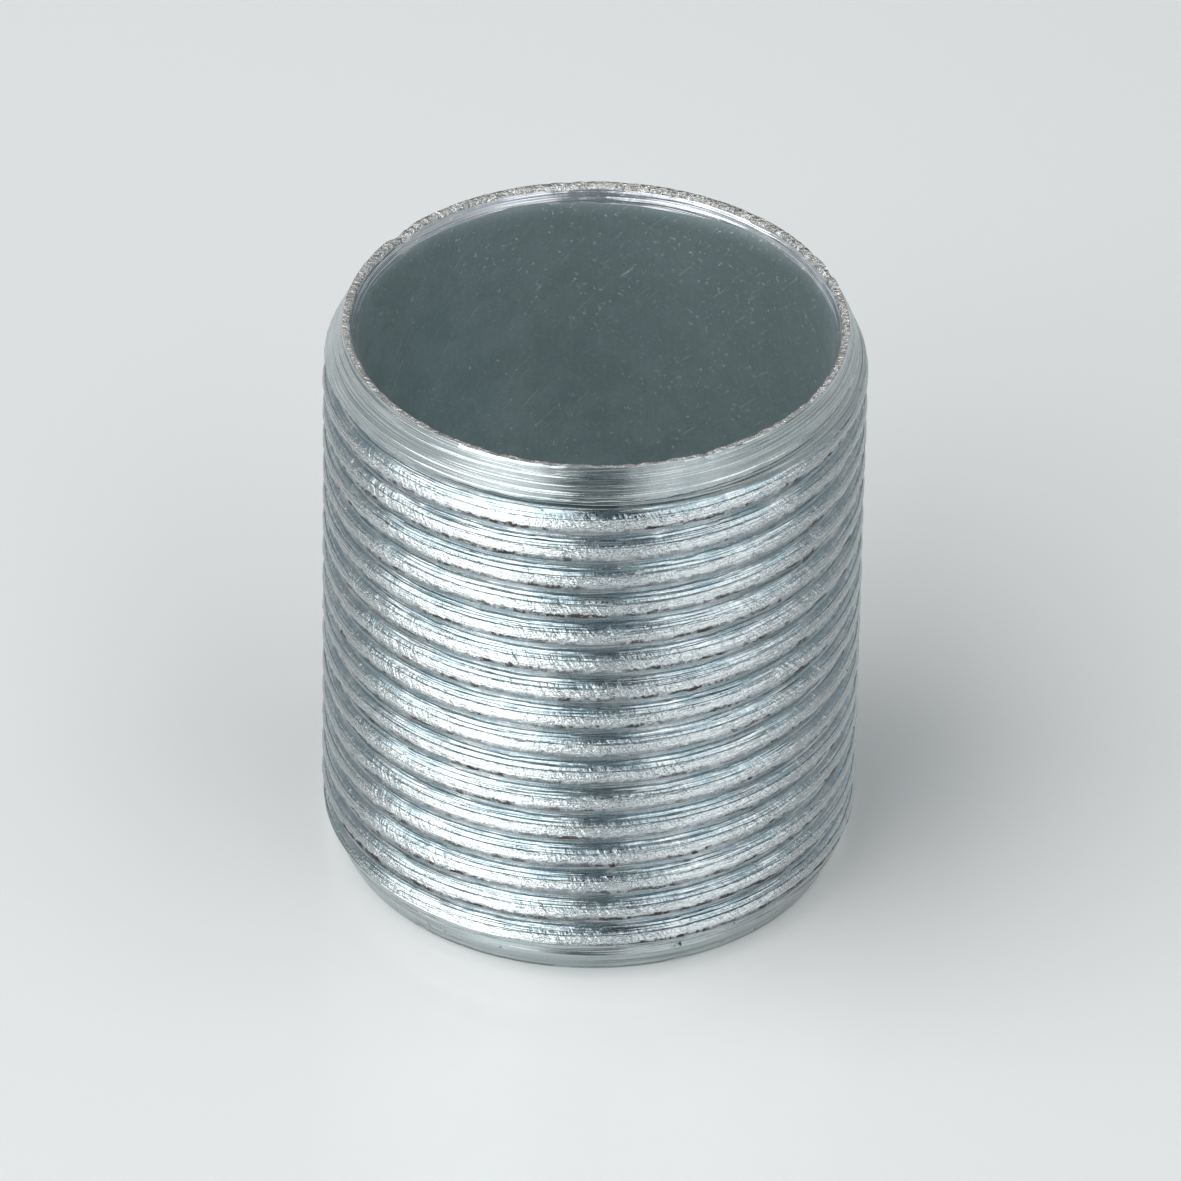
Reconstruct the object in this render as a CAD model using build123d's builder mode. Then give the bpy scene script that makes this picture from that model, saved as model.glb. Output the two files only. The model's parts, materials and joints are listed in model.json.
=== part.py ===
from build123d import *
import math
import os

# Close nipple: one length of steel tube with a straight right-hand thread over its whole outside.
# The origin is the centre of the lower end face and +Z runs along the tube.

# Tube
length = 28.7            # end face to end face
outer_diameter = 25.4    # over the thread crests
wall = 1.6               # crest to bore

# Thread: parallel, 16 turns to the inch, 55 degree form
pitch = 25.4 / 16
thread_angle = 55.0      # between the two flanks
thread_depth = 0.65      # crest to root, measured radially
root_flat = 0.31         # width of the groove's floor
groove_below_end = 1.90  # upper end face down to the first groove's centre, on the -Y side

# Turned ends
rim_width = 0.28         # flat ring left between the outer and inner chamfers
ream_width = 0.38        # how far the inner chamfer opens the bore, radially
ream_depth = 0.8         # how far the inner chamfer reaches into the bore
chamfer_angle = 25.0     # outer chamfer, measured from the tube's axis

# The groove cutter runs on past both end faces
cutter_overrun = 0.5     # turns

outer_radius = outer_diameter / 2
bore_radius = outer_radius - wall
root_radius = outer_radius - thread_depth
rim_inner_radius = bore_radius + ream_width
rim_outer_radius = rim_inner_radius + rim_width
chamfer_length = (outer_radius - rim_outer_radius) / math.tan(math.radians(chamfer_angle))

# The groove widens by this much on each side for each millimetre outwards from its floor.
# Its cutter stands outside the crests by half a crest's width, so neighbouring turns stay apart.
flank_slope = math.tan(math.radians(thread_angle / 2))
root_half_width = root_flat / 2
crest_flat = pitch - root_flat - 2 * thread_depth * flank_slope
cutter_radius = outer_radius + crest_flat / 2
mouth_half_width = root_half_width + (cutter_radius - root_radius) * flank_slope

# The groove's centre line crosses the +X side a quarter pitch above its place on the -Y side
turns_below = math.ceil((length - groove_below_end) / pitch + cutter_overrun)
turns_above = math.ceil(groove_below_end / pitch + cutter_overrun)
groove_start = length - groove_below_end + pitch / 4 - turns_below * pitch

# Tube blank: the wall's section, chamfered outside and reamed inside at both ends, turned about the axis
with BuildPart() as tube_blank:
    with BuildSketch(Plane.XZ) as wall_section:
        with BuildLine():
            Polyline(
                (bore_radius, ream_depth),
                (rim_inner_radius, 0),
                (rim_outer_radius, 0),
                (outer_radius, chamfer_length),
                (outer_radius, length - chamfer_length),
                (rim_outer_radius, length),
                (rim_inner_radius, length),
                (bore_radius, length - ream_depth),
                close=True,
            )
        make_face()
    revolve(axis=Axis.Z)

# One turn of the groove: its section carried once round a right-hand helix
with BuildPart() as groove_turn:
    with BuildLine() as groove_floor:
        Helix(pitch=pitch, height=pitch, radius=root_radius, center=(0, 0, groove_start))
    with BuildSketch(Plane.XZ) as groove_section:
        with BuildLine():
            Polyline(
                (root_radius, groove_start - root_half_width),
                (cutter_radius, groove_start - mouth_half_width),
                (cutter_radius, groove_start + mouth_half_width),
                (root_radius, groove_start + root_half_width),
                close=True,
            )
        make_face()
    sweep(is_frenet=True)

# Nipple: the blank with the groove cut turn by turn, each turn starting where the last one ends
with BuildPart() as threaded_nipple:
    add(tube_blank.part)
    with Locations([(0, 0, turn * pitch) for turn in range(turns_below + turns_above)]):
        add(groove_turn.part, mode=Mode.SUBTRACT)

threaded_nipple.part.label = "threaded_nipple"

os.makedirs("parts", exist_ok=True)
export_step(threaded_nipple.part, "parts/threaded_nipple.step")

groove_volume = tube_blank.part.volume - threaded_nipple.part.volume
print("nipple size", threaded_nipple.part.bounding_box().size)
print("volume", round(threaded_nipple.part.volume, 1), "groove", round(groove_volume, 1))
print("solids", len(threaded_nipple.solids()), "valid", threaded_nipple.part.is_valid)
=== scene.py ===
import json
import math
import bmesh
import bpy
import numpy as np
from mathutils import Matrix, Vector


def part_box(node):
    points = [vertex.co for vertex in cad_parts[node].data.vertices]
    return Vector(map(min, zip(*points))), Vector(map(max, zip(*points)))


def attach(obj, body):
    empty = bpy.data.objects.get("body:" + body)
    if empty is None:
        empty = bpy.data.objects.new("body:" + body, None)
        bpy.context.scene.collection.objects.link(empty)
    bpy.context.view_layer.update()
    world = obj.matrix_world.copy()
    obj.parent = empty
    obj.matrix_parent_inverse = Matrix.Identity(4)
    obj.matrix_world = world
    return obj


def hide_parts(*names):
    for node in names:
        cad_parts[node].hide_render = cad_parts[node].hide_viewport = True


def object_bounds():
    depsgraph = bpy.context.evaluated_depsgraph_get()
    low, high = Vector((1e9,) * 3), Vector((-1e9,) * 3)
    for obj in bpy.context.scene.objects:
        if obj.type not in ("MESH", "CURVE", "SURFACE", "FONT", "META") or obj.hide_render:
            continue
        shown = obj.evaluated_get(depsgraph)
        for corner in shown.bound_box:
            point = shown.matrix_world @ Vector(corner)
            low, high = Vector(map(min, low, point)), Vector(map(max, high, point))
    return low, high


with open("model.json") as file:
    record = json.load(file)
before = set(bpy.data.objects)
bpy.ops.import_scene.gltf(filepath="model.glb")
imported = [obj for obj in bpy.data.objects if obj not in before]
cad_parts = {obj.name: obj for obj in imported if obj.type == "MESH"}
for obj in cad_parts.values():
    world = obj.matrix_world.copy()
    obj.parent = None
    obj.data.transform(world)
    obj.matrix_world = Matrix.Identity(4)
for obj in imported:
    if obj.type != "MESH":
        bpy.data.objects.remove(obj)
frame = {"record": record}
cadLow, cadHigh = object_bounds()
nodeLow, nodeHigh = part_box("threaded_nipple")
bore = next(m for m in frame["record"]["mounts"] if m["name"] == "bore")
print("frame loaded")

mm = 0.001
fullTurn = 2 * math.pi

# Sizes in millimetres, the same ones that the tube is made to
tube = {
    "length": (nodeHigh.z - nodeLow.z) / mm,
    "crestRadius": (nodeHigh.y - nodeLow.y) / 2 / mm - 0.002,
    "boreRadius": bore["dims"]["r_mm"],
    "pitch": 25.4 / 16,
    "threadDepth": 0.65,
    "flankSlope": math.tan(math.radians(27.5)),
    "rootFlat": 0.31,
    "grooveBelowEnd": 1.90,
    "rimWidth": 0.28,
    "reamWidth": 0.38,
    "reamDepth": 0.8,
    "chamferSlope": math.tan(math.radians(25)),
}
tube["rimInner"] = tube["boreRadius"] + tube["reamWidth"]
tube["rimOuter"] = tube["rimInner"] + tube["rimWidth"]
tube["chamferLength"] = (tube["crestRadius"] - tube["rimOuter"]) / tube["chamferSlope"]
tube["grooveStart"] = tube["length"] - tube["grooveBelowEnd"] + tube["pitch"] / 4
tube["crestHalf"] = tube["pitch"] / 2 - tube["rootFlat"] / 2 - tube["threadDepth"] * tube["flankSlope"]
tube["stepLine"] = 0.56      # from a crest's middle up to the cutter's step on the flank above
footHeight = nodeLow.z / mm


def eased(x):                # a smooth rise from 0 to 1
    x = np.clip(x, 0, 1)
    return x * x * (3 - 2 * x)


def softMin(a, b, size):     # the smaller of the two, with the corner rounded over that size
    h = np.clip(0.5 + 0.5 * (b - a) / size, 0, 1)
    return b * (1 - h) + a * h - size * h * (1 - h)


def softMax(a, b, size):
    return -softMin(-a, -b, size)


# Value noise along a line: random heights each wavelength, eased from one to the next
def lineNoise(distance, wavelength, seed):
    knots = np.random.default_rng(seed).uniform(-1, 1, 1 << 15)
    place = distance / wavelength
    cell = np.floor(place).astype(int)
    share = eased(place - cell)
    return knots[cell % len(knots)] * (1 - share) + knots[(cell + 1) % len(knots)] * share


# Value noise over the tube's side: random heights on a lattice that closes on itself round the tube
def sheetNoise(angle, height, width, tall, seed):
    across = max(3, round(fullTurn * tube["crestRadius"] / width))
    knots = np.random.default_rng(seed).uniform(-1, 1, (4096, across))
    x = (angle / fullTurn) % 1 * across
    y = height / tall + 1024
    cellX, cellY = np.floor(x).astype(int), np.floor(y).astype(int)
    shareX, shareY = eased(x - cellX), eased(y - cellY)
    low = knots[cellY % 4096, cellX % across] * (1 - shareX) + knots[cellY % 4096, (cellX + 1) % across] * shareX
    high = knots[(cellY + 1) % 4096, cellX % across] * (1 - shareX)
    high = high + knots[(cellY + 1) % 4096, (cellX + 1) % across] * shareX
    return low * (1 - shareY) + high * shareY


# Where a point lies on the thread: its distance from the nearest groove's middle, its distance from
# the middle of the ridge it is on (up is plus), and how far along that ridge it is
def threadPlace(angle, height):
    turns = (height - tube["grooveStart"]) / tube["pitch"] - angle / fullTurn
    ridge = np.floor(turns)
    fromGroove = (turns - np.round(turns)) * tube["pitch"]
    fromCrest = (turns - ridge - 0.5) * tube["pitch"]
    along = (ridge + angle / fullTurn + 64) * fullTurn * tube["crestRadius"]
    return fromGroove, fromCrest, along


surface = {
    "columns": 372,
    "rowsInPitch": (-0.60, -0.52, -0.47, -0.33, -0.19, -0.06, 0.10, 0.22, 0.45, 0.50, 0.56, 0.68, 0.81),
    "rootRound": 0.13,
    "crestRound": 0.10,
    "crestCrown": 0.12,      # how far a crest has dropped away by its upper edge
    "crestSag": 0.035,       # how far the rough crests stay under their full radius
    "tearDepth": 0.15,       # chips out of the crests' lower edges
    "burrDrop": 0.11,        # how far torn metal hangs below a crest
    "grooveFill": 0.10,      # metal that the chamfering pushed into the first groove
    "chamferWave": 0.012,
}

# Nicks in the rims: angle in degrees, width in degrees, depth in millimetres
topNicks = ((143, 2.4, 0.22), (139, 1.2, 0.10), (22, 1.6, 0.16), (13, 2.2, 0.10), (31, 1.3, 0.12),
            (-64, 1.0, 0.09), (-112, 0.9, 0.07), (-150, 1.4, 0.10), (97, 1.3, 0.06))
bottomNicks = ((-68, 2.2, 0.12), (-131, 1.5, 0.10), (35, 2.0, 0.14), (120, 1.8, 0.10), (-178, 1.2, 0.12))


def nickDepth(angle, nicks, seed):
    degrees = np.degrees(angle)
    depth = 0.035 * np.clip(lineNoise(angle / fullTurn % 1 * 80, 0.42, seed), 0, 1)
    for middle, width, deep in nicks:
        away = (degrees - middle + 180) % 360 - 180
        depth = depth + deep * np.exp(-(away / width) ** 2)
    return depth


# Outside: a cylinder at the crests, coned at both ends, less the groove. The groove's depth falls off
# its two flanks in straight lines with rounded corners, and is filled in towards the tube's ends.
# Torn crests, hanging burrs and turning waves are small changes on top of that.
def outerShape(angle, height):
    fromGroove, fromCrest, along = threadPlace(angle, height)
    fromEnd = np.minimum(height, tube["length"] - height)
    flank = tube["threadDepth"] - (np.abs(fromGroove) - tube["rootFlat"] / 2) / tube["flankSlope"]
    depth = softMin(flank, tube["threadDepth"], surface["rootRound"])
    depth = softMax(depth, 0, surface["crestRound"])

    onCrest = np.exp(-(fromCrest / 0.36) ** 4)
    lowerEdge = np.exp(-((fromCrest + 0.31) / 0.08) ** 2)
    upperEdge = np.exp(-((fromCrest - 0.30) / 0.08) ** 2)
    rough = lineNoise(along, 0.55, 1) * 0.5 + lineNoise(along, 0.23, 2) * 0.5
    chips = np.clip(0.8 * lineNoise(along, 1.1, 3) + 0.6 * lineNoise(along, 0.30, 4) - 0.15, 0, 1)
    skin = sheetNoise(angle, height, 0.5, 0.16, 5)
    sag = surface["crestSag"] * onCrest * (0.5 + 0.5 * skin)
    crown = surface["crestCrown"] * np.clip((fromCrest + 0.22) / 0.52, 0, 1) ** 2 * onCrest
    depth = depth + sag + crown + surface["tearDepth"] * chips * lowerEdge
    depth = depth + 0.03 * upperEdge * np.clip(lineNoise(along, 0.7, 6) - 0.2, 0, 1)
    drop = surface["burrDrop"] * lowerEdge * np.clip(rough + 0.15, -0.2, 1)

    cone = tube["rimOuter"] + fromEnd * tube["chamferSlope"]
    wave = sheetNoise(angle, height, 14.0, 0.33, 7) * surface["chamferWave"]
    onCone = 1 - eased((fromEnd - tube["chamferLength"] * 0.9) / 0.4)
    cone = cone - (wave + surface["chamferWave"]) * onCone * eased(fromEnd / 0.15)
    cone = softMin(cone, tube["crestRadius"], 0.06)
    fill = surface["grooveFill"] * (1 - eased(fromEnd / (tube["chamferLength"] * 1.15)))
    radius = cone - np.maximum(0, cone - tube["crestRadius"] + depth - fill)
    clear = eased((fromEnd - 0.3) / 0.8)
    return np.minimum(radius, tube["crestRadius"]), height - drop * clear


# Inside and end faces: for each ring, its radius and height as functions of the angle. The bore is
# drawn a little out of round and the reamed edge wanders, because it is cut by hand.
def innerRings(angle):
    length = tube["length"]
    rings = []

    def rim(z, outwards, seed):
        for share in (0.30, 0.68, 1.0):
            ragged = lineNoise(angle / fullTurn % 1 * 80, 0.30, seed + round(share * 10))
            radius = tube["rimOuter"] - tube["rimWidth"] * share + 0.035 * ragged * (0.4 + share)
            low = 0.018 + 0.03 * abs(lineNoise(angle / fullTurn % 1 * 80, 0.26, seed + 20 + round(share * 10)))
            rings.append((radius, z - outwards * low * (0.5 + share)))

    def ream(z, outwards, seed):
        for share in (0.22, 0.48, 0.76, 1.0):
            deep = tube["reamDepth"] + 0.22 * lineNoise(angle / fullTurn % 1 * 80, 5.7, seed)
            deep = deep + 0.10 * lineNoise(angle / fullTurn % 1 * 80, 1.3, seed + 1) + 0.12 * np.cos(angle + 0.7)
            radius = tube["rimInner"] - tube["reamWidth"] * share
            radius = radius + 0.015 * lineNoise(angle / fullTurn % 1 * 80, 2.0, seed + 2)
            rings.append((np.maximum(radius, tube["boreRadius"]), z - outwards * deep * share))

    rim(length, 1, 30)
    ream(length, 1, 60)
    for height in np.linspace(length - 1.6, 1.6, 15):
        swell = 0.012 * sheetNoise(angle, height + angle * 0, 9, 3.0, 90)
        rings.append((tube["boreRadius"] + 0.012 + swell, height + angle * 0))
    start = len(rings)
    ream(0, -1, 70)
    rings[start:] = rings[start:][::-1]
    start = len(rings)
    rim(0, -1, 40)
    rings[start:] = rings[start:][::-1]
    return rings


# One closed skin. Outside, each row runs along the helix, so the ridges have clean edges, and it
# stops where it meets an end face; inside, each row is a ring. Columns run round the tube, and the
# first and last lie on each other and are welded.
def makeTube():
    angle = np.linspace(0, fullTurn, surface["columns"] + 1)
    pitch = tube["pitch"]
    below = math.ceil(tube["grooveStart"] / pitch) + 1
    rows = []
    for turn in range(-below, 3):
        for offset in surface["rowsInPitch"]:
            rows.append(tube["grooveStart"] + pitch * (turn + angle / fullTurn) + offset)
    rows = np.clip(np.array(rows), 0, tube["length"])
    radius, height = outerShape(np.broadcast_to(angle, rows.shape), rows)
    outside = rows.shape[0]
    rings = innerRings(angle)
    radius = np.vstack([radius] + [r for r, z in rings])
    height = np.vstack([height] + [z for r, z in rings])
    turned = np.broadcast_to(angle, radius.shape)

    top = nickDepth(turned, topNicks, 11) * eased(1 - (tube["length"] - height) / 0.7)
    bottom = nickDepth(turned, bottomNicks, 12) * eased(1 - height / 0.7)
    height = np.clip(height - top + bottom, 0, tube["length"])
    points = np.stack([radius * np.cos(turned), radius * np.sin(turned), height], -1) * mm
    points[..., 2] += nodeLow.z

    count, across = radius.shape
    index = np.arange(count * across).reshape(count, across)
    following = np.roll(index, -1, axis=0)
    faces = np.stack([index[:, :-1], index[:, 1:], following[:, 1:], following[:, :-1]], -1)
    kind = np.zeros((count, across - 1), np.int32)
    kind[outside - 1:] = 1                        # the rim faces and the bore
    kind[outside - 1:outside + 3] = 2
    kind[-4:] = 2
    mesh = bpy.data.meshes.new("nippleTube")
    mesh.from_pydata(points.reshape(-1, 3), [], faces.reshape(-1, 4))
    mesh.polygons.foreach_set("material_index", kind.ravel())

    skin = bmesh.new()
    skin.from_mesh(mesh)
    bmesh.ops.remove_doubles(skin, verts=skin.verts, dist=0.002 * mm)
    bmesh.ops.dissolve_degenerate(skin, edges=skin.edges, dist=0.001 * mm)
    openEdges = sum(1 for e in skin.edges if not e.is_manifold)
    triangles = sum(len(f.verts) - 2 for f in skin.faces)
    print("tube skin", triangles, "triangles", openEdges, "open edges")
    skin.to_mesh(mesh)
    skin.free()
    mesh.shade_smooth()
    piece = bpy.data.objects.new("threadedTube", mesh)
    bpy.context.collection.objects.link(piece)
    return piece


def addNode(tree, kind, inputs=None, **settings):
    node = tree.nodes.new("ShaderNode" + kind)
    for name, value in settings.items():
        setattr(node, name, value)
    for name, value in (inputs or {}).items():
        if isinstance(value, bpy.types.NodeSocket):
            tree.links.new(value, node.inputs[name])
        else:
            node.inputs[name].default_value = value
    return node


def calc(tree, operation, *values, clamp=False):
    node = addNode(tree, "Math", operation=operation, use_clamp=clamp)
    for place, value in enumerate(values):
        if isinstance(value, bpy.types.NodeSocket):
            tree.links.new(value, node.inputs[place])
        else:
            node.inputs[place].default_value = value
    return node.outputs[0]


def band(tree, value, low, high, softness):      # 1 between low and high, easing off over softness
    rise = addNode(tree, "MapRange", {"Value": value, "From Min": low - softness, "From Max": low + softness},
                   interpolation_type="SMOOTHSTEP")
    fall = addNode(tree, "MapRange", {"Value": value, "From Min": high - softness, "From Max": high + softness,
                                      "To Min": 1.0, "To Max": 0.0}, interpolation_type="SMOOTHSTEP")
    return calc(tree, "MULTIPLY", rise.outputs[0], fall.outputs[0])


def step(tree, value, low, high):
    return addNode(tree, "MapRange", {"Value": value, "From Min": low, "From Max": high},
                   interpolation_type="SMOOTHSTEP").outputs[0]


def noise(tree, vector, scale, detail=2.0, roughness=0.5):
    return addNode(tree, "TexNoise", {"Vector": vector, "Scale": scale, "Detail": detail,
                                      "Roughness": roughness}).outputs["Fac"]


def mixColor(tree, share, first, second):
    node = addNode(tree, "Mix", data_type="RGBA")
    for place, value in ((0, share), (6, first), (7, second)):
        if isinstance(value, bpy.types.NodeSocket):
            tree.links.new(value, node.inputs[place])
        else:
            node.inputs[place].default_value = value if place == 0 else (*value, 1)
    return node.outputs[2]


def newGroup(name, inputs, outputs):
    group = bpy.data.node_groups.new(name, "ShaderNodeTree")
    for label, kind, value in inputs:
        socket = group.interface.new_socket(label, in_out="INPUT", socket_type="NodeSocket" + kind)
        if value is not None:
            socket.default_value = value
    for label, kind in outputs:
        group.interface.new_socket(label, in_out="OUTPUT", socket_type="NodeSocket" + kind)
    return group, group.nodes.new("NodeGroupInput").outputs, group.nodes.new("NodeGroupOutput").inputs


def useGroup(tree, group, **inputs):
    node = tree.nodes.new("ShaderNodeGroup")
    node.node_tree = group
    for name, value in inputs.items():
        if isinstance(value, bpy.types.NodeSocket):
            tree.links.new(value, node.inputs[name])
        else:
            node.inputs[name].default_value = value
    return node.outputs


# Turns a place on the tube, in millimetres, into how far along a ridge it is, how far across from the
# ridge's middle, and how far up the tube
def threadPlaceGroup():
    group, given, out = newGroup(
        "threadPlace", [("Vector", "Vector", None), ("Pitch", "Float", 1.5), ("Start", "Float", 0.0),
                        ("Round", "Float", 80.0)],
        [("Along", "Float"), ("Across", "Float"), ("Height", "Float")])
    axes = addNode(group, "SeparateXYZ", {"Vector": given["Vector"]}).outputs
    angle = calc(group, "DIVIDE", calc(group, "ARCTAN2", axes["Y"], axes["X"]), fullTurn)
    raised = calc(group, "DIVIDE", calc(group, "SUBTRACT", axes["Z"], given["Start"]), given["Pitch"])
    turns = calc(group, "SUBTRACT", raised, angle)
    ridge = calc(group, "FLOOR", turns)
    middle = calc(group, "SUBTRACT", calc(group, "SUBTRACT", turns, ridge), 0.5)
    across = calc(group, "MULTIPLY", middle, given["Pitch"])
    along = calc(group, "MULTIPLY", calc(group, "ADD", ridge, angle), given["Round"])
    group.links.new(along, out["Along"])
    group.links.new(across, out["Across"])
    group.links.new(axes["Z"], out["Height"])
    return group


# Fine grooves along a surface, as a height in millimetres, from noise stretched along the first axis
def drawnLinesGroup():
    group, given, out = newGroup(
        "drawnLines", [("Row", "Vector", None), ("Spacing", "Float", 0.05), ("Length", "Float", 3.0),
                       ("Depth", "Float", 0.004)],
        [("Height", "Float")])
    long = calc(group, "DIVIDE", 1.0, given["Length"])
    tall = calc(group, "DIVIDE", 1.0, given["Spacing"])
    stretch = addNode(group, "CombineXYZ", {"X": long, "Y": tall, "Z": 1.0})
    placed = addNode(group, "VectorMath", {0: given["Row"], 1: stretch.outputs[0]}, operation="MULTIPLY")
    lines = noise(group, placed.outputs[0], 1.0, 2.0, 0.55)
    height = calc(group, "MULTIPLY", calc(group, "SUBTRACT", lines, 0.5), given["Depth"])
    group.links.new(calc(group, "MULTIPLY", height, 2.0), out["Height"])
    return group


# Mottled zinc: two tints blended by a cloudy pattern, with the polish that goes with each
def platingGroup():
    group, given, out = newGroup(
        "zincPlating", [("Place", "Vector", None), ("Size", "Float", 1.2), ("Pale", "Color", None),
                        ("Deep", "Color", None), ("Dull", "Float", 0.35), ("Bright", "Float", 0.22)],
        [("Color", "Color"), ("Roughness", "Float")])
    scale = calc(group, "DIVIDE", 1.0, given["Size"])
    clouds = step(group, noise(group, given["Place"], scale, 4.0, 0.6), 0.35, 0.68)
    flecks = step(group, noise(group, given["Place"], 7.0, 2.0, 0.6), 0.40, 0.72)
    share = calc(group, "ADD", calc(group, "MULTIPLY", clouds, 0.65), calc(group, "MULTIPLY", flecks, 0.35))
    group.links.new(mixColor(group, share, given["Deep"], given["Pale"]), out["Color"])
    span = calc(group, "SUBTRACT", given["Bright"], given["Dull"])
    group.links.new(calc(group, "ADD", given["Dull"], calc(group, "MULTIPLY", span, share)), out["Roughness"])
    return group


# Small dark specks where the plating has failed: a mask from noise cut off near its top
def specksGroup():
    group, given, out = newGroup(
        "rustSpecks", [("Place", "Vector", None), ("Size", "Float", 0.3), ("Amount", "Float", 0.3)],
        [("Mask", "Float")])
    cloud = noise(group, given["Place"], calc(group, "DIVIDE", 1.0, given["Size"]), 3.0, 0.6)
    edge = calc(group, "SUBTRACT", 0.86, calc(group, "MULTIPLY", given["Amount"], 0.4))
    over = calc(group, "SUBTRACT", cloud, edge)
    group.links.new(calc(group, "MULTIPLY", over, 14.0, clamp=True), out["Mask"])
    return group


groups = {
    "place": threadPlaceGroup(),
    "lines": drawnLinesGroup(),
    "plating": platingGroup(),
    "specks": specksGroup(),
}


# A material with its shader, the thread's own directions, and the place on the piece in millimetres
def newMaterial(name):
    material = bpy.data.materials.new(name)
    material.use_nodes = True
    tree = material.node_tree
    shader = tree.nodes["Principled BSDF"]
    coords = addNode(tree, "TexCoord").outputs["Object"]
    at = addNode(tree, "VectorMath", {0: coords, "Scale": 1 / mm}, operation="SCALE").outputs[0]
    place = useGroup(tree, groups["place"], Vector=at, Pitch=tube["pitch"],
                     Start=tube["grooveStart"] + footHeight, Round=fullTurn * tube["crestRadius"])
    return material, tree, shader, place, at


def addHeights(tree, shader, height):            # heights are in millimetres
    bump = addNode(tree, "Bump", {"Height": height, "Strength": 1.0, "Distance": mm})
    tree.links.new(bump.outputs[0], shader.inputs["Normal"])


def product(tree, *values):
    total = values[0]
    for value in values[1:]:
        total = calc(tree, "MULTIPLY", total, value)
    return total


def addAll(tree, *values):
    total = values[0]
    for value in values[1:]:
        total = calc(tree, "ADD", total, value)
    return total


def opposite(tree, value):                       # 1 less the value
    return calc(tree, "SUBTRACT", 1.0, value)


def evenNoise(tree, vector, scale, detail=2.0, roughness=0.5):      # noise either side of 0
    return calc(tree, "SUBTRACT", noise(tree, vector, scale, detail, roughness), 0.5)


def plate(tree, at, finish):
    return useGroup(tree, groups["plating"], Place=at, Size=finish["cloudSize"], Pale=(*finish["pale"], 1),
                    Deep=(*finish["deep"], 1), Dull=finish["dull"], Bright=finish["bright"])


def drawLines(tree, row, lines):
    spacing, length, depth = lines
    return useGroup(tree, groups["lines"], Row=row, Spacing=spacing, Length=length, Depth=depth)["Height"]


def findSpecks(tree, at, specks):
    size, amount = specks
    return useGroup(tree, groups["specks"], Place=at, Size=size, Amount=amount)["Mask"]


# The cut thread and the chamfers. Sizes are millimetres; lines are given as spacing, length and depth,
# specks as size and amount.
threadFinish = {
    "pale": (0.66, 0.71, 0.725),
    "deep": (0.37, 0.47, 0.51),
    "crest": (0.58, 0.63, 0.64),
    "cone": (0.52, 0.565, 0.56),
    "coneShare": 0.7,
    "rust": (0.055, 0.030, 0.020),
    # the dark colour on the next line is soot in the torn edges, and it is also the painted shade that rootShade
    # lays into the groove floors
    "sootAndShade": (0.045, 0.045, 0.042),
    "rootShade": 0.15,
    "dull": 0.24,
    "bright": 0.12,
    "dirtAndShadeDullness": 0.35,
    "dirtAndShadeCover": 0.8,
    "coneDullness": 0.03,
    "cloudSize": 1.6,
    "specks": (0.42, 0.34),
    "scuffs": (0.80, 0.48),      # only near the foot, fading between these two heights
    "scuffsFade": (2.5, 6.5),
    "scuffGrime": 0.35,
    "raggedWidth": 0.60,         # how far the torn edges wander
    "tornBand": (-0.20, 0.14),   # the torn strip, from a crest's lower edge
    "tornDepth": 0.04,
    "flankLines": (0.10, 6.0, 0.030),
    "crestLines": (0.12, 0.6, 0.036),
    "crestGrain": 0.022,
    "crestLean": (-0.32, 0.34),  # across the crest, where its burnished lean starts and ends
    "crestTilt": 0.36,
    "stepWander": 0.07,
    "stepHeight": 0.022,
    "chatterDepth": 0.024,
    "feedLines": (0.27, 26.0, 0.120),
    "fineLines": (0.09, 8.0, 0.014),
    "pitDepth": 0.020,
    "grainDepth": 0.005,
}


# Where the crests, their torn lower edges, the groove floors, the chamfers and the foot are, as masks
def threadZones(tree, place, ridgeRow):
    finish, half = threadFinish, tube["crestHalf"]
    across, height = place["Across"], place["Height"]
    ragged = product(tree, evenNoise(tree, ridgeRow, 3.0, 4.0, 0.75), finish["raggedWidth"])
    torn = calc(tree, "ADD", across, ragged)     # the distance across, with ragged edges
    fromTop = calc(tree, "SUBTRACT", tube["length"] + footHeight, height)
    fromEnd = calc(tree, "MINIMUM", height, fromTop)
    offCone = step(tree, fromEnd, tube["chamferLength"] - 0.10, tube["chamferLength"] + 0.06)
    low, high = finish["scuffsFade"]
    under, over = finish["tornBand"]
    return {
        "crest": band(tree, torn, -half, half + 0.02, 0.05),
        "aroundCrest": band(tree, torn, -half, half + 0.12, 0.06),
        "torn": band(tree, torn, under - half, over - half, 0.03),
        "root": step(tree, calc(tree, "ABSOLUTE", across), 0.56, 0.68),
        "offCone": offCone,
        "cone": opposite(tree, offCone),
        "foot": opposite(tree, step(tree, height, low + footHeight, high + footHeight)),
    }


# How much soot and rust lies in the torn edges: broken up along the ridge, and in larger patches
def tornGrime(tree, zones, ridgeRow, at):
    broken = step(tree, noise(tree, ridgeRow, 2.4, 3.0, 0.7), 0.41, 0.54)
    cloud = step(tree, noise(tree, at, 0.45, 3.0, 0.6), 0.40, 0.60)
    patches = product(tree, calc(tree, "MULTIPLY_ADD", broken, 0.70, 0.30),
                      calc(tree, "MULTIPLY_ADD", cloud, 0.6, 0.4))
    patches = calc(tree, "MULTIPLY_ADD", zones["foot"], threadFinish["scuffGrime"], patches, clamp=True)
    return product(tree, zones["torn"], zones["offCone"], patches)


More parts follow.
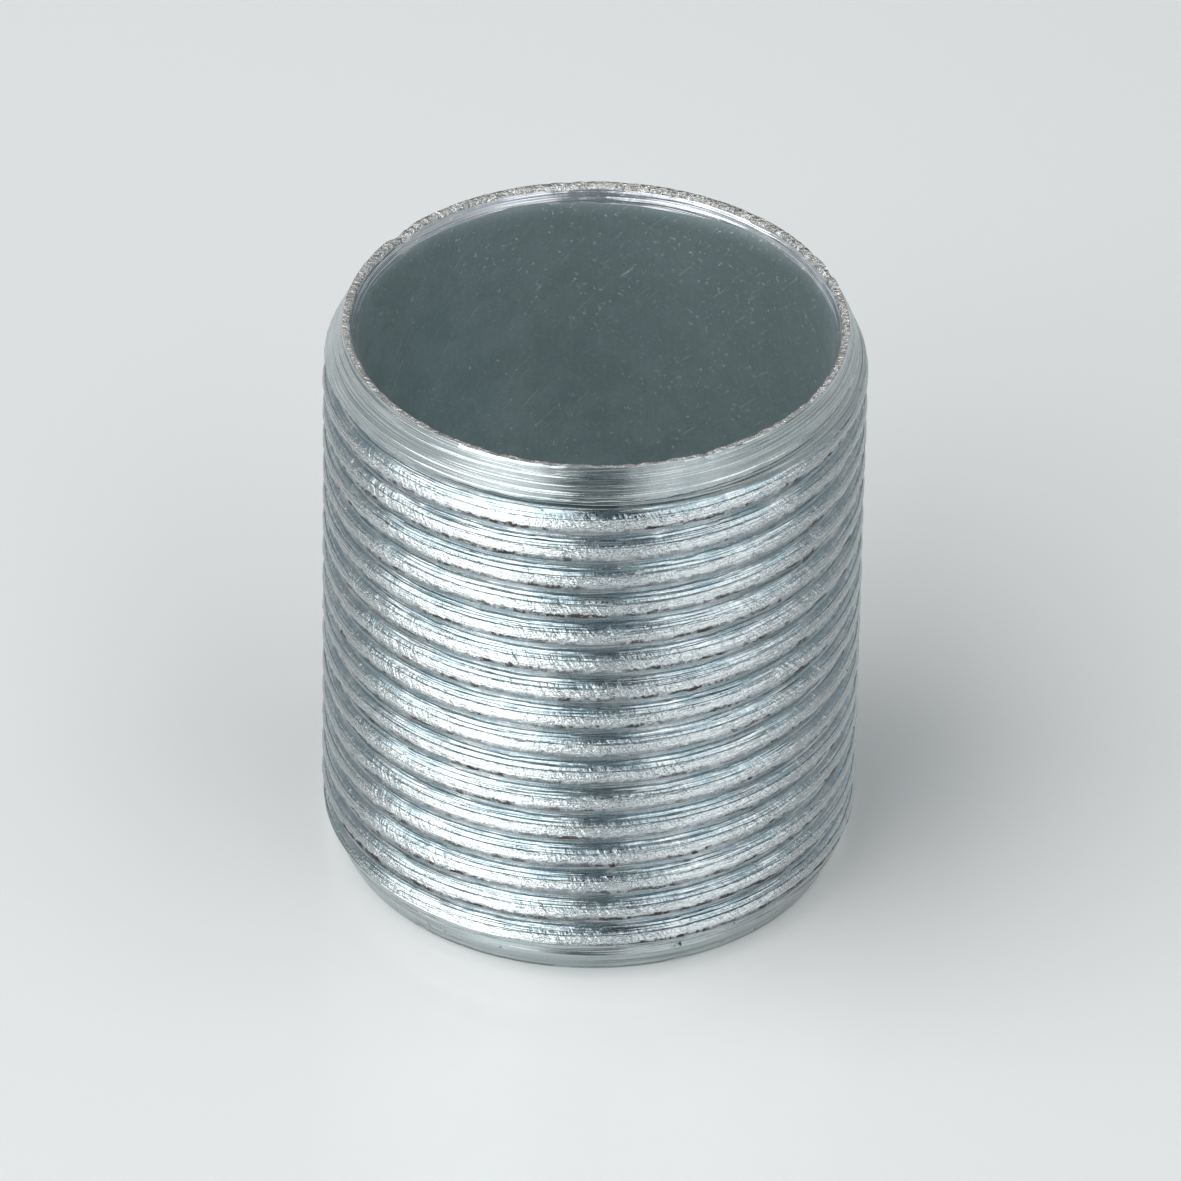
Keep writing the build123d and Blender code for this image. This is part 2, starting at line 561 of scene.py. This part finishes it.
# The die's marks: flank lines, torn crests that lean back, the cutter's step, and slanted chatter strokes
def threadHeights(tree, place, ridgeRow, at, zones, grime, grain):
    finish, stepLine = threadFinish, tube["stepLine"]
    along, across = place["Along"], place["Across"]
    lines = drawLines(tree, ridgeRow, finish["flankLines"])
    rough = product(tree, drawLines(tree, ridgeRow, finish["crestLines"]), zones["crest"])
    start, end = finish["crestLean"]
    share = addNode(tree, "MapRange", {"Value": across, "From Min": start, "From Max": end}).outputs[0]
    lean = product(tree, share, calc(tree, "MULTIPLY_ADD", share, 0.7, 0.3), finish["crestTilt"])
    wander = product(tree, evenNoise(tree, ridgeRow, 0.8), finish["stepWander"])
    stepRise = band(tree, calc(tree, "ADD", across, wander), stepLine - 0.03, stepLine + 0.03, 0.025)
    slant = calc(tree, "ADD", product(tree, along, 3.4), product(tree, across, 2.6))
    slanted = addNode(tree, "CombineXYZ", {"X": slant, "Y": product(tree, across, 0.9)}).outputs[0]
    strokes = product(tree, evenNoise(tree, slanted, 1.0, 2.0, 0.55), zones["aroundCrest"])
    where = calc(tree, "ADD", step(tree, noise(tree, at, 0.22), 0.40, 0.62), 0.35)
    chatter = product(tree, strokes, where, finish["chatterDepth"] * 2)
    raised = addAll(tree, lines, rough, product(tree, stepRise, finish["stepHeight"]), chatter,
                    product(tree, grain, zones["crest"], finish["crestGrain"]))
    sunk = calc(tree, "ADD", lean, product(tree, grime, finish["tornDepth"]))
    return calc(tree, "SUBTRACT", raised, sunk)


# The lathe tool's lines round the chamfers, deeper on some sides than on others
def chamferHeights(tree, place, at):
    row = addNode(tree, "CombineXYZ", {"X": place["Along"], "Y": place["Height"]}).outputs[0]
    side = calc(tree, "ADD", step(tree, noise(tree, at, 0.09, 1.0), 0.42, 0.60), 0.25)
    feed = product(tree, drawLines(tree, row, threadFinish["feedLines"]), side)
    return calc(tree, "ADD", feed, drawLines(tree, row, threadFinish["fineLines"]))


def threadMaterial():
    finish = threadFinish
    material, tree, shader, place, at = newMaterial("dieCutZinc")
    ridgeRow = addNode(tree, "CombineXYZ", {"X": place["Along"], "Y": place["Across"]}).outputs[0]
    zones = threadZones(tree, place, ridgeRow)
    plating = plate(tree, at, finish)
    scuffs = product(tree, findSpecks(tree, ridgeRow, finish["scuffs"]), zones["foot"])
    specks = calc(tree, "MAXIMUM", findSpecks(tree, at, finish["specks"]), scuffs)
    grime = tornGrime(tree, zones, ridgeRow, at)
    # painted shade: the groove floors are darkened towards the dark soot colour and made less metallic, standing
    # in for the shade inside the groove
    rootShade = product(tree, zones["root"], zones["offCone"], finish["rootShade"])

    onCrest = product(tree, zones["crest"], zones["offCone"])
    color = mixColor(tree, onCrest, plating["Color"], finish["crest"])
    color = mixColor(tree, product(tree, zones["cone"], finish["coneShare"]), color, finish["cone"])
    rusty = step(tree, noise(tree, at, 0.5), 0.42, 0.58)
    color = mixColor(tree, grime, color, mixColor(tree, rusty, finish["sootAndShade"], finish["rust"]))
    # painted shade in the groove floors
    color = mixColor(tree, rootShade, color, finish["sootAndShade"])
    color = mixColor(tree, specks, color, finish["rust"])
    tree.links.new(color, shader.inputs["Base Color"])

    # the torn-edge dirt, the rust specks and the painted shade of the groove floors all make the surface less
    # metallic and rougher
    dirtAndShade = calc(tree, "MAXIMUM", calc(tree, "MAXIMUM", grime, specks), rootShade)
    tree.links.new(opposite(tree, product(tree, dirtAndShade, finish["dirtAndShadeCover"])), shader.inputs["Metallic"])
    polish = addAll(tree, plating["Roughness"], product(tree, dirtAndShade, finish["dirtAndShadeDullness"]),
                    product(tree, zones["cone"], finish["coneDullness"]))
    tree.links.new(polish, shader.inputs["Roughness"])

    grain = evenNoise(tree, at, 9.0, 3.0, 0.6)
    cut = threadHeights(tree, place, ridgeRow, at, zones, grime, grain)
    total = calc(tree, "ADD", product(tree, cut, zones["offCone"]),
                 product(tree, chamferHeights(tree, place, at), zones["cone"]))
    total = calc(tree, "SUBTRACT", total, product(tree, specks, finish["pitDepth"]))
    addHeights(tree, shader, calc(tree, "ADD", total, product(tree, grain, finish["grainDepth"])))
    return material


boreFinish = {
    "pale": (0.60, 0.69, 0.70),
    "deep": (0.44, 0.53, 0.54),
    "reamed": (0.66, 0.69, 0.72),
    "motes": (0.95, 0.98, 0.96),
    "moteHeight": 0.012,
    "scratch": (0.92, 0.95, 0.94),
    "scratchAngle": 0.75,        # radians
    "scratchShare": 0.5,
    "scratchLines": (0.16, 4.0, 1.0),
    "metal": 0.85,
    "dull": 0.50,
    "bright": 0.38,
    "reamPolish": 0.24,
    "cloudSize": 2.5,
    "specks": (0.55, 0.33),
    "drawnDepth": 0.010,
    "reamLines": (0.14, 9.0, 0.030),
}


# Dull inside, brighter where the ream cut: streaks along the tube, pale motes, and slanting scratches
def boreMaterial():
    finish = boreFinish
    material, tree, shader, place, at = newMaterial("dullBoreZinc")
    plating = plate(tree, at, finish)
    axes = addNode(tree, "SeparateXYZ", {"Vector": at}).outputs
    outwards = calc(tree, "SQRT", calc(tree, "ADD", product(tree, axes["X"], axes["X"]),
                                       product(tree, axes["Y"], axes["Y"])))
    reamed = step(tree, outwards, tube["boreRadius"] + 0.02, tube["boreRadius"] + 0.05)
    motes = step(tree, noise(tree, at, 3.4, 3.0, 0.75), 0.62, 0.70)
    patch = step(tree, noise(tree, at, 0.12, 1.0), 0.38, 0.60)
    row = addNode(tree, "CombineXYZ", {"X": place["Along"], "Y": place["Height"]}).outputs[0]
    slanted = addNode(tree, "VectorRotate", {"Vector": row, "Angle": finish["scratchAngle"]},
                      rotation_type="Z_AXIS").outputs[0]
    scratches = step(tree, drawLines(tree, slanted, finish["scratchLines"]), 0.30, 0.40)

    color = mixColor(tree, reamed, plating["Color"], finish["reamed"])
    color = mixColor(tree, product(tree, motes, patch), color, finish["motes"])
    color = mixColor(tree, findSpecks(tree, at, finish["specks"]), color, threadFinish["rust"])
    color = mixColor(tree, product(tree, scratches, finish["scratchShare"]), color, finish["scratch"])
    tree.links.new(color, shader.inputs["Base Color"])
    shader.inputs["Metallic"].default_value = finish["metal"]
    polish = product(tree, reamed, finish["reamPolish"])
    tree.links.new(calc(tree, "SUBTRACT", plating["Roughness"], polish), shader.inputs["Roughness"])

    drawn = addNode(tree, "Mapping", {"Vector": at, "Scale": (3.0, 3.0, 0.25)}).outputs[0]
    drawn = product(tree, evenNoise(tree, drawn, 1.0, 3.0, 0.6), finish["drawnDepth"])
    rings = product(tree, drawLines(tree, row, finish["reamLines"]), reamed)
    addHeights(tree, shader, addAll(tree, drawn, rings, product(tree, motes, finish["moteHeight"])))
    return material


rimFinish = {
    "pale": (0.96, 0.96, 0.95),
    "deep": (0.55, 0.53, 0.50),
    "dull": 0.34,
    "bright": 0.12,
    "cloudSize": 0.5,
    "specks": (0.24, 0.46),
    "lumpHeight": 0.26,
}


def rimMaterial():
    finish = rimFinish
    material, tree, shader, place, at = newMaterial("tornRim")
    plating = plate(tree, at, finish)
    specks = findSpecks(tree, at, finish["specks"])
    tree.links.new(mixColor(tree, specks, plating["Color"], threadFinish["rust"]), shader.inputs["Base Color"])
    tree.links.new(opposite(tree, specks), shader.inputs["Metallic"])
    tree.links.new(plating["Roughness"], shader.inputs["Roughness"])
    addHeights(tree, shader, product(tree, evenNoise(tree, at, 4.2, 3.0, 0.65), finish["lumpHeight"]))
    return material


piece = makeTube()
for make in (threadMaterial, boreMaterial, rimMaterial):
    piece.data.materials.append(make())
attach(piece, "root")
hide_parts("threaded_nipple")
print("tube and finishes made")

# Pale floor, two soft boxes either side of straight up, and a sky that is darker overhead and in front
studio = {
    "floorSize": 4.0,
    "floorColor": (0.90, 0.90, 0.895, 1),
    "floorRoughness": 0.12,
    "floorShine": 0.8,
    # overhead boxes, left and right of the gap that the camera looks through: the nearest and farthest
    # x, the front and back y, in metres, and how bright each face looks
    "boxHeight": 0.60,
    "boxes": (
        {"name": "leftBox", "x": (-0.85, -0.10), "y": (-0.90, 0.17), "glow": 2.5},
        {"name": "rightBox", "x": (0.16, 0.60), "y": (-0.90, 0.17), "glow": 1.35},
    ),
    "skyTop": (0.012, 0.045, 0.058),
    "skyFront": (0.010, 0.035, 0.045),
    "skySide": (0.30, 0.32, 0.33),
    "leftGlow": (1.25, 1.28, 1.30),
    "rightGlow": (0.80, 0.82, 0.84),
    "skyLow": (0.55, 0.56, 0.56),
    "skyStrength": 1.0,
    "frontShade": 0.85,
}


def makeFloor():
    mesh = bpy.data.meshes.new("floor")
    half = studio["floorSize"] / 2
    corners = [(-half, -half, 0), (half, -half, 0), (half, half, 0), (-half, half, 0)]
    mesh.from_pydata([(x, y, nodeLow.z) for x, y, z in corners], [], [(0, 1, 2, 3)])
    floor = bpy.data.objects.new("floor", mesh)
    bpy.context.collection.objects.link(floor)
    material = bpy.data.materials.new("paleFloor")
    material.use_nodes = True
    shader = material.node_tree.nodes["Principled BSDF"]
    shader.inputs["Base Color"].default_value = studio["floorColor"]
    shader.inputs["Roughness"].default_value = studio["floorRoughness"]
    shader.inputs["Specular IOR Level"].default_value = studio["floorShine"]
    mesh.materials.append(material)


def makeLights():
    for box in studio["boxes"]:
        light = bpy.data.lights.new(box["name"], "AREA")
        light.shape = "RECTANGLE"
        light.size, light.size_y = box["x"][1] - box["x"][0], box["y"][1] - box["y"][0]
        light.energy = box["glow"] * math.pi * light.size * light.size_y
        lamp = bpy.data.objects.new(box["name"], light)
        lamp.location = (sum(box["x"]) / 2, sum(box["y"]) / 2, studio["boxHeight"])
        bpy.context.collection.objects.link(lamp)
    world = bpy.data.worlds.new("studio")
    bpy.context.scene.world = world
    world.use_nodes = True
    tree = world.node_tree
    toSky = addNode(tree, "TexCoord").outputs["Generated"]
    axes = addNode(tree, "SeparateXYZ", {"Vector": toSky}).outputs
    height = step(tree, axes["Z"], 0.12, 0.50)
    aside = calc(tree, "ABSOLUTE", axes["X"])
    forward = calc(tree, "MULTIPLY", axes["Y"], -1.0)
    middle = calc(tree, "SUBTRACT", 1.0, step(tree, aside, 0.16, 0.42))
    over = mixColor(tree, middle, studio["skySide"], studio["skyTop"])
    color = mixColor(tree, height, studio["skyLow"], over)
    lobe = calc(tree, "MULTIPLY", band(tree, aside, 0.30, 0.80, 0.12), step(tree, forward, 0.25, 0.50))
    lobe = calc(tree, "MULTIPLY", lobe, calc(tree, "SUBTRACT", 1.0, step(tree, axes["Z"], 0.50, 0.70)))
    glow = mixColor(tree, step(tree, axes["X"], -0.1, 0.1), studio["leftGlow"], studio["rightGlow"])
    color = mixColor(tree, lobe, color, glow)
    front = calc(tree, "MULTIPLY", calc(tree, "MULTIPLY", step(tree, forward, 0.30, 0.60), middle),
                 studio["frontShade"])
    color = mixColor(tree, front, color, studio["skyFront"])
    sky = tree.nodes["Background"]
    tree.links.new(color, sky.inputs["Color"])
    sky.inputs["Strength"].default_value = studio["skyStrength"]


camera = {
    "pitch": 35.613,         # degrees below level
    "roll": 0.965,
    "distance": 0.5629,
    "aside": (0.0000709, 0.000782),
    "lens": 364.6,
}


def makeCamera():
    data = bpy.data.cameras.new("camera")
    data.lens = camera["lens"]
    data.sensor_width = 36
    data.clip_start, data.clip_end = 0.01, 10
    eye = bpy.data.objects.new("camera", data)
    pitch, roll = math.radians(camera["pitch"]), math.radians(camera["roll"])
    forward = Vector((0, math.cos(pitch), -math.sin(pitch)))
    right = Vector((1, 0, 0))
    up = right.cross(forward)
    right, up = right * math.cos(roll) + up * math.sin(roll), up * math.cos(roll) - right * math.sin(roll)
    centre = (cadLow + cadHigh) / 2
    spot = centre - right * camera["aside"][0] - up * camera["aside"][1] - forward * camera["distance"]
    turned = Matrix((right, up, -forward)).transposed().to_4x4()
    eye.matrix_world = Matrix.Translation(spot) @ turned
    bpy.context.collection.objects.link(eye)
    bpy.context.scene.camera = eye


makeFloor()
makeLights()
makeCamera()
bpy.context.scene.view_settings.view_transform = "Standard"
print("studio made")
